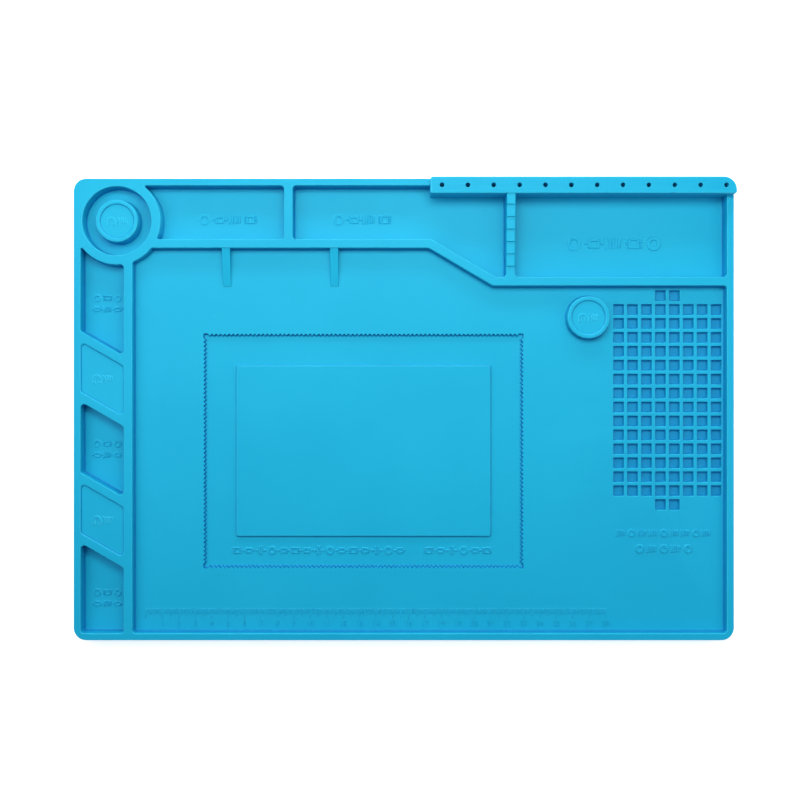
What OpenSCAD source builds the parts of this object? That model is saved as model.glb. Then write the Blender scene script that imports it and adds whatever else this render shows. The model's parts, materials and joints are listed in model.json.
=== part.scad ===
// Silicone repair mat for an electronics bench.
// One soft moulding with pockets, a well, pads, a board bay, screw pits, a rule and a raised
// tool bar, plus four disc magnets sealed in from below, each behind its own plug.
// The moulding is divided into nodes along the feet of its walls, so every wall, floor and
// boss is a simple solid. They meet face to face.
// Frame: X along the long side, Y away from the user, Z up, origin under the middle.

/* [Mat] */
// Length of the mat along X
mat_x = 400; // [396:1:404]
// Depth of the mat along Y
mat_y = 280; // [277:1:283]
// Radius of the four outer corners
corner_r = 8; // [6:0.5:10]
// Width of the outer rim
rim_w = 4.6; // [4.2:0.1:5]
// Width of the walls between pockets
wall_w = 5.2; // [4.6:0.1:5.6]
// Clearance between a cutter and the face it leaves
over = 1; // [0.5:0.1:2]

/* [Heights above the underside] */
// Top of the rim, walls and bosses
rim_z = 10; // [9:0.1:11]
// Work floor
floor_z = 4.5; // [4:0.1:5]
// Floor of the deep pockets and of the screw pits
pocket_z = 2; // [1.5:0.1:2.5]
// Floor of the shallow magnetic pads and boss tops
pad_z = 9; // [8.6:0.1:9.4]
// Floor of the board bay
bay_z = 2.7; // [2.5:0.1:3.6]
// Top of the board bay's inner platform
platform_z = 4.4; // [4:0.1:4.5]
// Top of the tool bar
bar_z = 15.5; // [14:0.5:17]
// Height of the rule's marks above the work floor
mark_h = 0.3; // [0.2:0.1:0.7]

/* [Left column of cells] */
// Inner width of the column
column_w = 26.1; // [25:0.1:27]
// Slope of the walls between cells, in degrees
cell_slope = 30; // [26:1:32]
// Middle of the wall under the first cell, measured on the column's centre line
cell_y = 36.8; // [35:0.1:38]
// Height of a magnetic pad, wall middle to wall middle
pad_pitch = 36.6; // [35:0.1:37.5]
// Height of the open cell between the pads, wall middle to wall middle
cell_pitch = 48.8; // [47:0.1:50]

/* [Corner well and bosses] */
// Centre of the corner well along X
well_x = -173.5; // [-174:0.1:-173]
// Centre of the corner well along Y
well_y = 114; // [113.6:0.1:114.4]
// Inner radius of the corner well
well_r = 20.9; // [20:0.1:21.5]
// Outer radius of the wall around the corner well
ring_r = 26.5; // [26:0.1:26.5]
// Radius of a magnetic boss
boss_r = 12.7; // [12:0.1:13]
// Radius of the shallow recess in a boss top
dish_r = 10.4; // [10:0.1:11]
// Centre of the work area's boss along X
boss_x = 111.8; // [110:0.1:112.5]
// Centre of the work area's boss along Y
boss_y = 55.7; // [54:0.1:57]

/* [Far pockets] */
// Depth of the first far pocket along Y
pocket_d = 32.5; // [31:0.1:34]
// Left face of the partition between the first two far pockets
partition_x = -72.4; // [-80:0.1:-60]
// X where the pocket wall starts to slant
slant_x = 15.1; // [14:0.1:15.5]
// Length of the slant along X
slant_run = 38.8; // [37:0.1:40]
// Drop of the slant along Y
slant_drop = 22.8; // [22:0.1:23.5]
// Left face of the stepped wall
step_x = 61.9; // [60:0.1:63]

/* [Tool bar] */
// Left end of the tool bar
bar_x = 15.8; // [14:0.1:18]
// Depth of the tool bar along Y
bar_d = 10.5; // [10:0.1:11]
// Number of tool holes
hole_count = 12; // [10:1:12]
// Distance between tool holes
hole_pitch = 15.5; // [14:0.1:15.5]
// First tool hole along X
hole_x = 22.9; // [20:0.1:23]
// Distance from the far edge to the line of tool holes
hole_inset = 5.4; // [5:0.1:5.6]
// Radius of a tool hole
hole_r = 1.4; // [1.2:0.1:1.8]
// Depth of a tool hole
hole_depth = 10; // [8:0.5:11]
// Number of risers from the pocket wall up to the bar
riser_count = 7; // [5:1:7]
// Y of the lowest riser
riser_y = 86.5; // [85:0.1:88]
// Distance between risers
riser_pitch = 7.35; // [6:0.05:7.4]

/* [Work area ribs] */
// Centre of the left rib along X
left_rib_x = -107.7; // [-112:0.1:-100]
// Centre of the right rib along X
right_rib_x = -42.2; // [-50:0.1:-36]
// Width of a rib
rib_w = 5; // [4:0.1:6]
// Length of a rib along Y
rib_l = 22.7; // [20:0.1:24]
// Height of a rib at the pocket wall, above the work floor
rib_h = 4.8; // [4:0.1:5.4]
// Height of a rib at its far end
rib_end_h = 0.4; // [0.2:0.1:1]

/* [Board bay] */
// Centre of the board bay along X
bay_x = -24.6; // [-26:0.1:-23]
// Centre of the board bay along Y
bay_y = -25.3; // [-27:0.1:-24]
// Teeth along the long side of the bay
teeth_x = 75; // [70:1:75]
// Teeth along the short side of the bay
teeth_y = 55; // [50:1:55]
// Distance between teeth
tooth_pitch = 2.6; // [2.4:0.1:2.6]
// Depth of a tooth
tooth_d = 1.3; // [0.8:0.1:1.5]
// Length of the inner platform
platform_x = 155; // [140:1:160]
// Depth of the inner platform
platform_y = 104; // [95:1:108]

/* [Screw pits] */
// Columns of pits
pit_columns = 8; // [6:1:8]
// Full rows of pits
pit_rows = 14; // [12:1:14]
// First column of the short rows at both ends
end_column = 3; // [1:1:4]
// Side of a square pit
pit_side = 6.5; // [6:0.1:7]
// Distance between pits
pit_pitch = 8.5; // [8.4:0.1:8.5]
// Centre of the pit field along X
pits_x = 160.8; // [160:0.05:161.5]
// Centre of the pit field along Y
pits_y = 5.6; // [4:0.1:6]

/* [Rule] */
// Length of the rule in centimetres
rule_cm = 28; // [20:1:28]
// Zero mark along X
rule_x = -157; // [-160:0.5:-150]
// Top of the marks along Y
rule_y = -121.5; // [-123:0.5:-120]
// Width of a mark
mark_w = 0.4; // [0.3:0.05:0.5]
// Length of a millimetre mark
mark_mm = 3; // [2:0.5:4]
// Extra length of every fifth mark
mark_step = 1.4; // [1:0.1:1.5]

/* [Magnets] */
// Radius of a disc magnet
magnet_r = 10; // [8:0.5:10]
// Thickness of a disc magnet
magnet_h = 4; // [2:0.5:4]
// Silicone left above a magnet
skin = 1.2; // [1:0.1:1.6]
// Gap around a magnet in its cavity
magnet_gap = 0.2; // [0.1:0.05:0.3]
// Glue gap around a plug in its cavity
plug_gap = 0.05; // [0.05:0.05:0.1]

/* [Hidden] */
$fn = 96;

silicone = [0.16, 0.66, 0.86];
silicone_low = [0.10, 0.55, 0.78];
nickel = [0.78, 0.78, 0.76];

// Edges of the mat and inner edges of its rim
edge_x = mat_x / 2;
edge_y = mat_y / 2;
in_x = edge_x - rim_w;
in_y = edge_y - rim_w;
// Column wall, and the column's centre line
column_x1 = -in_x + column_w;
work_x = column_x1 + wall_w;
column_mid = -in_x + column_w / 2;
// Pocket wall, before and after the slant
wall_far_y = in_y - pocket_d;
wall_near_y = wall_far_y - wall_w;
low_near_y = wall_near_y - slant_drop;
low_far_y = low_near_y + wall_w;
slant_end = slant_x + slant_run;
mitre = wall_w * tan(atan2(slant_drop, slant_run) / 2);
// Tool bar and its steps
bar_y = edge_y - bar_d;
riser_h = (bar_z - rim_z) / riser_count;
hole_floor_z = bar_z - hole_depth;
// Magnetic pads: the wall middles above and below each one
pad_centres = [cell_y - pad_pitch / 2, cell_y - pad_pitch - cell_pitch - pad_pitch / 2];
wall_drop = wall_w / cos(cell_slope);
magnet_top = pad_z - skin;
plug_h = magnet_top - magnet_h;
cavity_r = magnet_r + magnet_gap;
// Block of the floor that holds the screw pits
pit_web = pit_pitch - pit_side;
pits_w = pit_columns * pit_pitch - pit_web;
pits_d = (pit_rows + 2) * pit_pitch - pit_web;
pit_block_x = pits_x - pits_w / 2 - pit_web / 2;
pit_block_y = pits_y - pits_d / 2 - pit_web / 2;

// Block between two corners given as [x, y, z].
module block(low, high) {
    translate(low) cube(high - low);
}

// The mat's own outline between two heights, with its rounded corners.
module outline(low_z, high_z) {
    difference() {
        block([-edge_x, -edge_y, low_z], [edge_x, edge_y, high_z]);
        for (sx = [-1, 1])
            for (sy = [-1, 1])
                translate([sx * (edge_x - corner_r), sy * (edge_y - corner_r), low_z - over])
                    scale([sx, sy, 1]) corner_cutter(high_z - low_z + 2 * over);
    }
}

// What a rounded corner removes from a square one, with the arc's centre at the origin.
module corner_cutter(h) {
    difference() {
        cube([corner_r + over, corner_r + over, h]);
        translate([0, 0, -over]) cylinder(r = corner_r, h = h + 2 * over);
    }
}

// Flat slab of any outline between two heights.
module slab(points, low_z, high_z) {
    translate([0, 0, low_z]) linear_extrude(high_z - low_z) polygon(points);
}

// Round post between two heights.
module post(x, y, r, low_z, high_z) {
    translate([x, y, low_z]) cylinder(r = r, h = high_z - low_z);
}

// Corners of the sloping strip of the column whose middle line is at y, d tall on that line.
function strip(y, d) = [
    [-in_x, y + d / 2 + rise()],
    [-in_x, y - d / 2 + rise()],
    [column_x1, y - d / 2 - rise()],
    [column_x1, y + d / 2 - rise()]
];

// Half of what a sloping wall drops across the column.
function rise() = column_w / 2 * tan(cell_slope);

// Saw-tooth outline of the board bay, counter-clockwise. Its corners have no tooth.
function tooth_row(n) = [[0, 0], for (i = [1:n - 2]) each [[i, 0], [i + 0.5, 1]], [n - 1, 0]];
function bay_outline() = let (
    hx = teeth_x * tooth_pitch / 2,
    hy = teeth_y * tooth_pitch / 2
) concat(
    [for (p = tooth_row(teeth_x)) [p[0] * tooth_pitch - hx, p[1] * tooth_d - hy]],
    [for (p = tooth_row(teeth_y)) [hx - p[1] * tooth_d, p[0] * tooth_pitch - hy]],
    [for (p = tooth_row(teeth_x)) [hx - p[0] * tooth_pitch, hy - p[1] * tooth_d]],
    [for (p = tooth_row(teeth_y)) [p[1] * tooth_d - hx, hy - p[0] * tooth_pitch]]
);

// Middle of a column of screw pits along X, and of a row along Y.
function column_x(c) = pits_x + (c - (pit_columns - 1) / 2) * pit_pitch;
function row_y(r) = pits_y + (r - (pit_rows + 1) / 2) * pit_pitch;

// First row of a column: only two columns reach into the short row at each end.
function first_row(c) = c == end_column || c == end_column + 1 ? 0 : 1;

// Cavity that takes a magnet and its plug from below.
module cavity(x, y) {
    post(x, y, cavity_r, -over, magnet_top);
}

// Base of the moulding: the floor of every deep pocket, open below for the four magnets.
module base_sheet() {
    color(silicone_low) difference() {
        outline(0, pocket_z);
        cavity(well_x, well_y);
        cavity(boss_x, boss_y);
        for (y = pad_centres) cavity(column_mid, y);
    }
}

// Work floor around the board bay and the screw pits.
module work_floor() {
    color(silicone) difference() {
        slab([
            [work_x, -in_y], [in_x, -in_y], [in_x, pit_block_y], [pit_block_x, pit_block_y],
            [pit_block_x, low_near_y], [slant_end, low_near_y],
            [slant_x, wall_near_y], [work_x, wall_near_y]
        ], pocket_z, floor_z);
        post(well_x, well_y, ring_r, pocket_z - over, floor_z + over);
        post(boss_x, boss_y, boss_r, pocket_z - over, floor_z + over);
        translate([bay_x, bay_y, 0]) slab(bay_outline(), pocket_z - over, floor_z + over);
    }
}

// Sunk bay for a circuit board, with a saw-tooth edge.
module board_bay() {
    color(silicone) translate([bay_x, bay_y, 0]) slab(bay_outline(), pocket_z, bay_z);
}

// Low platform in the middle of the board bay.
module bay_platform() {
    color(silicone) translate([bay_x, bay_y, bay_z])
        block([-platform_x / 2, -platform_y / 2, 0], [platform_x / 2, platform_y / 2, platform_z - bay_z]);
}

// Ribs between the columns of screw pits.
module pit_long_ribs() {
    color(silicone) for (c = [0:pit_columns]) {
        low_x = c == 0 ? pit_block_x : column_x(c - 1) + pit_side / 2;
        high_x = c == pit_columns ? in_x : column_x(c) - pit_side / 2;
        block([low_x, pit_block_y, pocket_z], [high_x, low_near_y, floor_z]);
    }
}

// Short ribs between the pits of each column, and the floor at both its ends.
module pit_cross_ribs() {
    color(silicone) for (c = [0:pit_columns - 1]) {
        first = first_row(c);
        last = pit_rows + 2 - first;
        for (r = [first:last]) {
            low_y = r == first ? pit_block_y : row_y(r - 1) + pit_side / 2;
            high_y = r == last ? low_near_y : row_y(r) - pit_side / 2;
            block(
                [column_x(c) - pit_side / 2, low_y, pocket_z],
                [column_x(c) + pit_side / 2, high_y, floor_z]
            );
        }
    }
}

// Part of the rim between two corners given as [x, y].
module rim_part(low, high) {
    color(silicone) intersection() {
        outline(pocket_z, rim_z);
        block([low[0], low[1], 0], [high[0], high[1], rim_z + over]);
    }
}

module left_rim() {
    rim_part([-edge_x - over, -edge_y - over], [-in_x, well_y - ring_r]);
}

module near_rim() {
    rim_part([-in_x, -edge_y - over], [in_x, -in_y]);
}

module right_rim() {
    rim_part([in_x, -edge_y - over], [edge_x + over, bar_y]);
}

module far_rim() {
    rim_part([well_x + ring_r, in_y], [bar_x, edge_y + over]);
}

// Round well in the far left corner. The corner outside its wall is solid.
module corner_well() {
    color(silicone) difference() {
        intersection() {
            outline(pocket_z, rim_z);
            union() {
                post(well_x, well_y, ring_r, 0, rim_z + over);
                block([-edge_x - over, well_y, 0], [well_x, edge_y + over, rim_z + over]);
                block([-edge_x - over, well_y - ring_r, 0], [-in_x, well_y, rim_z + over]);
                block([well_x, in_y, 0], [well_x + ring_r, edge_y + over, rim_z + over]);
            }
        }
        post(well_x, well_y, well_r, pocket_z - over, rim_z + over);
    }
}

// Round magnetic boss with a shallow recess in its top.
module boss(x, y) {
    color(silicone) difference() {
        post(x, y, boss_r, pocket_z, rim_z);
        post(x, y, dish_r, pad_z, rim_z + over);
        cavity(x, y);
    }
}

module corner_well_boss() {
    boss(well_x, well_y);
}

module work_area_boss() {
    boss(boss_x, boss_y);
}

// Long wall between the column of cells and the work area.
module column_wall() {
    color(silicone) difference() {
        block([column_x1, -in_y, pocket_z], [work_x, well_y, rim_z]);
        post(well_x, well_y, ring_r, pocket_z - over, rim_z + over);
    }
}

// Raised magnetic pad of the column, with the sloping walls on both sides of it.
module pad(y) {
    color(silicone) difference() {
        slab(strip(y, pad_pitch + wall_drop), pocket_z, rim_z);
        slab(strip(y, pad_pitch - wall_drop), pad_z, rim_z + over);
        cavity(column_mid, y);
    }
}

module upper_pad() {
    pad(pad_centres[0]);
}

module lower_pad() {
    pad(pad_centres[1]);
}

// Wall along the near side of the first two far pockets.
module pocket_wall() {
    color(silicone) difference() {
        slab([
            [well_x, wall_near_y], [slant_x, wall_near_y],
            [slant_x + mitre, wall_far_y], [well_x, wall_far_y]
        ], pocket_z, rim_z);
        post(well_x, well_y, ring_r, pocket_z - over, rim_z + over);
    }
}

module slanted_wall() {
    color(silicone) slab([
        [slant_x, wall_near_y], [slant_end, low_near_y],
        [slant_end + mitre, low_far_y], [slant_x + mitre, wall_far_y]
    ], pocket_z, rim_z);
}

module right_pocket_wall() {
    color(silicone) slab([
        [slant_end, low_near_y], [in_x, low_near_y],
        [in_x, low_far_y], [slant_end + mitre, low_far_y]
    ], pocket_z, rim_z);
}

module pocket_partition() {
    color(silicone) block([partition_x, wall_far_y, pocket_z], [partition_x + wall_w, in_y, rim_z]);
}

// Wall that climbs in equal steps from the pocket wall to the tool bar.
module stepped_wall() {
    color(silicone) union() {
        block([step_x, low_far_y, pocket_z], [step_x + wall_w, bar_y, rim_z]);
        for (i = [0:riser_count - 2])
            block(
                [step_x, riser_y + i * riser_pitch, pocket_z],
                [step_x + wall_w, bar_y, rim_z + (i + 1) * riser_h]
            );
    }
}

// Part of the raised bar between two heights.
module bar_part(low_z, high_z) {
    intersection() {
        outline(low_z, high_z);
        block([bar_x, bar_y, low_z - over], [edge_x + over, edge_y + over, high_z + over]);
    }
}

// Raised bar with a row of holes for tools, down to the floor of the holes.
module tool_bar() {
    color(silicone) difference() {
        bar_part(hole_floor_z, bar_z);
        for (i = [0:hole_count - 1])
            post(hole_x + i * hole_pitch, edge_y - hole_inset, hole_r, hole_floor_z - over, bar_z + over);
    }
}

// Solid foot of the raised bar, which closes its holes below.
module tool_bar_base() {
    color(silicone) bar_part(pocket_z, hole_floor_z);
}

// Low rib on the work floor that falls away in a straight slope from the pocket wall.
module rib(x) {
    color(silicone) translate([x - rib_w / 2, wall_near_y, floor_z])
        rotate([90, 0, 90]) linear_extrude(rib_w)
            polygon([[0, 0], [0, rib_h], [-rib_l, rib_end_h], [-rib_l, 0]]);
}

module left_rib() {
    rib(left_rib_x);
}

module right_rib() {
    rib(right_rib_x);
}

// Raised millimetre marks of the rule, longer at every fifth and tenth.
module rule_marks() {
    color(silicone) for (i = [0:10 * rule_cm]) {
        length = mark_mm + (i % 5 == 0 ? mark_step : 0) + (i % 10 == 0 ? mark_step : 0);
        block(
            [rule_x + i - mark_w / 2, rule_y - length, floor_z],
            [rule_x + i + mark_w / 2, rule_y, floor_z + mark_h]
        );
    }
}

// Disc magnet under a pad or boss.
module magnet(x, y) {
    color(nickel) post(x, y, magnet_r, plug_h, magnet_top);
}

// Silicone plug that closes a magnet's cavity flush with the underside.
module plug(x, y) {
    color(silicone_low) post(x, y, cavity_r - plug_gap, 0, plug_h);
}

module corner_well_magnet() {
    magnet(well_x, well_y);
}

module work_area_magnet() {
    magnet(boss_x, boss_y);
}

module upper_pad_magnet() {
    magnet(column_mid, pad_centres[0]);
}

module lower_pad_magnet() {
    magnet(column_mid, pad_centres[1]);
}

module corner_well_plug() {
    plug(well_x, well_y);
}

module work_area_plug() {
    plug(boss_x, boss_y);
}

module upper_pad_plug() {
    plug(column_mid, pad_centres[0]);
}

module lower_pad_plug() {
    plug(column_mid, pad_centres[1]);
}

base_sheet();
work_floor();
board_bay();
bay_platform();
pit_long_ribs();
pit_cross_ribs();
left_rim();
near_rim();
right_rim();
far_rim();
corner_well();
corner_well_boss();
work_area_boss();
column_wall();
upper_pad();
lower_pad();
pocket_wall();
slanted_wall();
right_pocket_wall();
pocket_partition();
stepped_wall();
tool_bar();
tool_bar_base();
left_rib();
right_rib();
rule_marks();
corner_well_magnet();
work_area_magnet();
upper_pad_magnet();
lower_pad_magnet();
corner_well_plug();
work_area_plug();
upper_pad_plug();
lower_pad_plug();
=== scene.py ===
"""Looks of a moulded silicone repair mat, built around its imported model."""
import json
import math

import bmesh
import bpy
import numpy as np
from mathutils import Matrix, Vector
from mathutils.geometry import delaunay_2d_cdt


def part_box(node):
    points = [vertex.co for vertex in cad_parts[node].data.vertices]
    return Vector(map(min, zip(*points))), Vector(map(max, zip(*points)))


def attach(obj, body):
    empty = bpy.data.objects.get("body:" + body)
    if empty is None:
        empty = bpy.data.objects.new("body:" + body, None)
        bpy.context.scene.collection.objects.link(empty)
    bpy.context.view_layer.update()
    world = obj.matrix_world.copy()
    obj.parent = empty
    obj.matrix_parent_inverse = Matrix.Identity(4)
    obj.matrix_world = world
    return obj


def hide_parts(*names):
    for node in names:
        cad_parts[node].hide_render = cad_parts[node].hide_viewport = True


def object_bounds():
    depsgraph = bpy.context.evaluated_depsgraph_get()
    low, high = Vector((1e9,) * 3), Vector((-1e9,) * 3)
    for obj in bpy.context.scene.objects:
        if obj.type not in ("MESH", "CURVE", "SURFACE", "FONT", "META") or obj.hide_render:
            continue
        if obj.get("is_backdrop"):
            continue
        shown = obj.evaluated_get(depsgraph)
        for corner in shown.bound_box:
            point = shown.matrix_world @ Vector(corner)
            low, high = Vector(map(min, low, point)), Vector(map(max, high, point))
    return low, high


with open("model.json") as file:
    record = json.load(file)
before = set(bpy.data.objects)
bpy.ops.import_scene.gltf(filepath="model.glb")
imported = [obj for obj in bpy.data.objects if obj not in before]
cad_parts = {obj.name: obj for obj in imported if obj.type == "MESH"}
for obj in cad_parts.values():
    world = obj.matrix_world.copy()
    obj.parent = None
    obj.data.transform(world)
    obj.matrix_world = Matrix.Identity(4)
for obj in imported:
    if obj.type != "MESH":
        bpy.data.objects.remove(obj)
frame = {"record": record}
cad_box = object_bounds()

# Shapes are worked out in millimetres and become metres when a mesh is made.
MM = 0.001
BODY = "root"

# ---------------------------------------------------------------- sizes taken from the frame


def span(node):
    """Lowest and highest corners of a node, in millimetres."""
    low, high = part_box(node)
    return [v / MM for v in low], [v / MM for v in high]


def middle(node):
    """Centre of a node in plan, in millimetres."""
    low, high = span(node)
    return (low[0] + high[0]) / 2, (low[1] + high[1]) / 2


BASE_LOW, BASE_HIGH = span("base_sheet")
FLOOR_Z = span("work_floor")[1][2]
POCKET_Z = BASE_HIGH[2]
BAY_Z = span("board_bay")[1][2]
PLATFORM_Z = span("bay_platform")[1][2]
RIM_Z = span("near_rim")[1][2]
BAR_Z = span("tool_bar")[1][2]

IN_LEFT = span("left_rim")[1][0]
IN_RIGHT = span("right_rim")[0][0]
IN_NEAR = span("near_rim")[1][1]
IN_FAR = span("far_rim")[0][1]
COLUMN_LEFT, COLUMN_RIGHT = span("column_wall")[0][0], span("column_wall")[1][0]
WALL_NEAR, WALL_FAR = span("pocket_wall")[0][1], span("pocket_wall")[1][1]
LOW_NEAR, LOW_FAR = span("right_pocket_wall")[0][1], span("right_pocket_wall")[1][1]
SLANT_START, SLANT_STOP = span("slanted_wall")[0][0], span("slanted_wall")[1][0]
SLANT_FAR_START = span("pocket_wall")[1][0]
SLANT_NEAR_STOP = span("right_pocket_wall")[0][0]
PARTITION_LEFT, PARTITION_RIGHT = span("pocket_partition")[0][0], span("pocket_partition")[1][0]
STEP_LEFT, STEP_RIGHT = span("stepped_wall")[0][0], span("stepped_wall")[1][0]
BAR_LEFT, BAR_NEAR = span("tool_bar")[0][0], span("tool_bar")[0][1]
BAR_RIGHT, BAR_FAR = span("tool_bar")[1][0], span("tool_bar")[1][1]
WELL_X, WELL_Y = middle("corner_well_boss")
BOSS_X, BOSS_Y = middle("work_area_boss")
BOSS_R = (span("work_area_boss")[1][0] - span("work_area_boss")[0][0]) / 2
RING_R = span("corner_well")[1][0] - WELL_X
PLUG_R = (span("work_area_plug")[1][0] - span("work_area_plug")[0][0]) / 2
MAGNET_TOP = span("work_area_magnet")[1][2]
BAY_X, BAY_Y = middle("board_bay")
RULE_LOW, RULE_HIGH = span("rule_marks")
HOLES = [m for m in frame["record"]["mounts"] if m["kind"] == "bore"]

# Sizes that no node's box gives, first of the rim, walls and floors
CORNER_R = 8.0
POCKET_R = 2.2
NOOK_R = 0.8
WELL_R = 20.9
DISH_R = 10.4
DISH_Z = 9.0
WALL_DRAFT = 0.3
SIDE_DRAFT = 0.3
EDGE_R = 0.45
# Wall feet are filleted wide, and the material paints these fillets in shade.
FOOT_R = 0.9
OUTER_FOOT_R = 0.5
PROUD = 0.1
CELL_SLOPE = math.radians(30)

# The board bay, with its teeth along X and along Y, and its platform
TEETH = (75, 55)
TOOTH_PITCH = 2.6
TOOTH_DEPTH = 1.3
BAY_CORNER_R = 0.6
PLATFORM_SIZE = (155.0, 104.0)
PLATFORM_R = 1.0

# The screw pits, with the columns that the first and last rows have
PIT_GRID = (8, 16)
PIT_PITCH = 8.5
PIT_SIDE = 6.5
PIT_R = 0.5
PIT_CENTRE = (160.8, 5.6)
END_PITS = (3, 4)

# The bar, the steps up to it and the ribs
BAR_CORNER_R = 1.2
BAR_END_R = 1.6
BAR_EDGE_R = 0.8
BAR_DRAFT = 0.2
RISERS = 7
RISER_Y = 86.5
RISER_PITCH = 7.35
RIB_END = 0.4

# The rule, with the mark that is stretched into all the others, and its numerals
UNIT_MARK = 1.0
MARK_HEIGHT = 0.3
MARK_LENGTH = 3.0
MARK_STEP = 1.4
NUMERAL_SIZE = 4.6
NUMERAL_HEIGHT = 0.3
NUMERAL_GAP = 0.9

# Where the magnets and plugs are, and the gap round a plug
MAGNET_SPOTS = ("corner_well", "work_area", "upper_pad", "lower_pad")
PLUG_GAP = 0.05

# How finely curves are drawn: points around a full circle, and steps in a quarter turn
ROUND_POINTS = 72
WELL_POINTS = 96
DISC_POINTS = 64
HOLE_POINTS = 20
ARC_STEPS = 5
LARGE_ARC_STEPS = 9
LARGE_R = 4.0
LEAST_R = 0.03

# How far apart points are welded, and the least fault that is removed
WELD = 2e-6
SPECK = 1e-7

# Bends that count as sharp, as a full edge and as a crease
SHARP_ANGLE = math.radians(38)
FULL_BEND = math.radians(15)
CREASE = math.radians(60)

# ---------------------------------------------------------------- outlines
# An outline is a list of corners (x, y, radius), counter-clockwise. A radius of 0 keeps a corner
# as one point, which is how points along a large arc are given.


def neighbours(corners):
    """Each corner with the one before it and the one after it."""
    return zip(corners[-1:] + corners[:-1], corners, corners[1:] + corners[:1])


def moved_in(corners, inset):
    """The same corners with every edge moved to its left by inset."""
    moved = []
    for before, here, after in neighbours(corners):
        u = Vector((here[0] - before[0], here[1] - before[1])).normalized()
        v = Vector((after[0] - here[0], after[1] - here[1])).normalized()
        sides = Vector((-u.y - v.y, u.x + v.x))
        shift = sides * (inset / (1 + u.dot(v)))
        moved.append((here[0] + shift.x, here[1] + shift.y, here[2]))
    return moved


def rounded(corners, inset=0.0):
    """Points of the outline moved in by inset, with its corners rounded."""
    points = []
    for before, here, after in neighbours(moved_in(corners, inset)):
        p = Vector(here[:2])
        if not here[2]:
            points.append(tuple(p))
            continue
        u = (p - Vector(before[:2])).normalized()
        v = (Vector(after[:2]) - p).normalized()
        turn = math.atan2(u.x * v.y - u.y * v.x, u.dot(v))
        side = math.copysign(1, turn)
        r = max(here[2] - side * inset, LEAST_R)
        start = p - u * (r * math.tan(abs(turn) / 2))
        centre = start + Vector((-u.y, u.x)) * (side * r)
        steps = LARGE_ARC_STEPS if here[2] > LARGE_R else ARC_STEPS
        count = max(2, round(abs(turn) / (math.pi / 2) * steps))
        arm = start - centre
        for i in range(count + 1):
            a = turn * i / count
            points.append((
                centre.x + arm.x * math.cos(a) - arm.y * math.sin(a),
                centre.y + arm.x * math.sin(a) + arm.y * math.cos(a),
            ))
    return points


def rectangle(x0, y0, x1, y1, r=0.0):
    return [(x0, y0, r), (x1, y0, r), (x1, y1, r), (x0, y1, r)]


def circle(x, y, r, count=ROUND_POINTS):
    return [
        (x + r * math.cos(math.tau * i / count), y + r * math.sin(math.tau * i / count), 0.0)
        for i in range(count)
    ]


def arc_inside(start, stop, count):
    """Points along the well's ring wall between two places on it, its ends left out."""
    a = math.atan2(start[1] - WELL_Y, start[0] - WELL_X)
    b = math.atan2(stop[1] - WELL_Y, stop[0] - WELL_X)
    turn = (b - a + math.pi) % math.tau - math.pi
    return [
        (
            WELL_X + RING_R * math.cos(a + turn * i / count),
            WELL_Y + RING_R * math.sin(a + turn * i / count),
            0.0,
        )
        for i in range(1, count)
    ]


def ring_x(y):
    """Right-hand X of the well's ring wall at y."""
    return WELL_X + math.sqrt(RING_R ** 2 - (y - WELL_Y) ** 2)


def ring_y(x):
    """Near Y of the well's ring wall at x."""
    return WELL_Y - math.sqrt(RING_R ** 2 - (x - WELL_X) ** 2)


# ---------------------------------------------------------------- profiles
# A profile is a list of (inset, height) that an outline follows from one flat to the next.


def edge_down(top, r, steps=3):
    """Rounded edge from a flat at the top over into a wall."""
    turns = [math.pi / 2 * i / steps for i in range(steps + 1)]
    return [(-r * (1 - math.sin(a)), top - r * (1 - math.cos(a))) for a in turns]


def foot_out(inset, floor, r, steps=3):
    """Fillet from a wall out onto a floor."""
    turns = [math.pi / 2 * i / steps for i in range(steps + 1)]
    return [(inset + r * (1 - math.cos(a)), floor + r * (1 - math.sin(a))) for a in turns]


def pocket_profile(top, floor, edge=EDGE_R, foot=FOOT_R, draft=WALL_DRAFT, steps=3):
    """Drafted wall down into a pocket, rounded at its top and filleted at its foot."""
    return edge_down(top, edge, steps) + foot_out(draft, floor, foot, steps)


def island_profile(top, floor, **sizes):
    """The same wall around something that stands on a floor."""
    return [(-inset, z) for inset, z in pocket_profile(top, floor, **sizes)]


def slab_profile(low, high, edge, steps=3):
    """Straight wall from low to high with both its edges rounded."""
    down = [(-inset, z) for inset, z in edge_down(high, edge, steps)]
    up = [(inset, low + high - z) for inset, z in reversed(down)]
    return down + up


# ---------------------------------------------------------------- skins


def in_loops(points, loops):
    """Which points lie inside the loops, holes counted out."""
    x, y = points[:, 0][:, None], points[:, 1][:, None]
    a = np.concatenate([np.array(loop) for loop in loops])
    b = np.concatenate([np.roll(np.array(loop), -1, 0) for loop in loops])
    crosses = (a[:, 1] > y) != (b[:, 1] > y)
    rise = np.where(b[:, 1] == a[:, 1], 1.0, b[:, 1] - a[:, 1])
    at = a[:, 0] + (y - a[:, 1]) * (b[:, 0] - a[:, 0]) / rise
    return (crosses & (x < at)).sum(1) % 2 == 1


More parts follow.
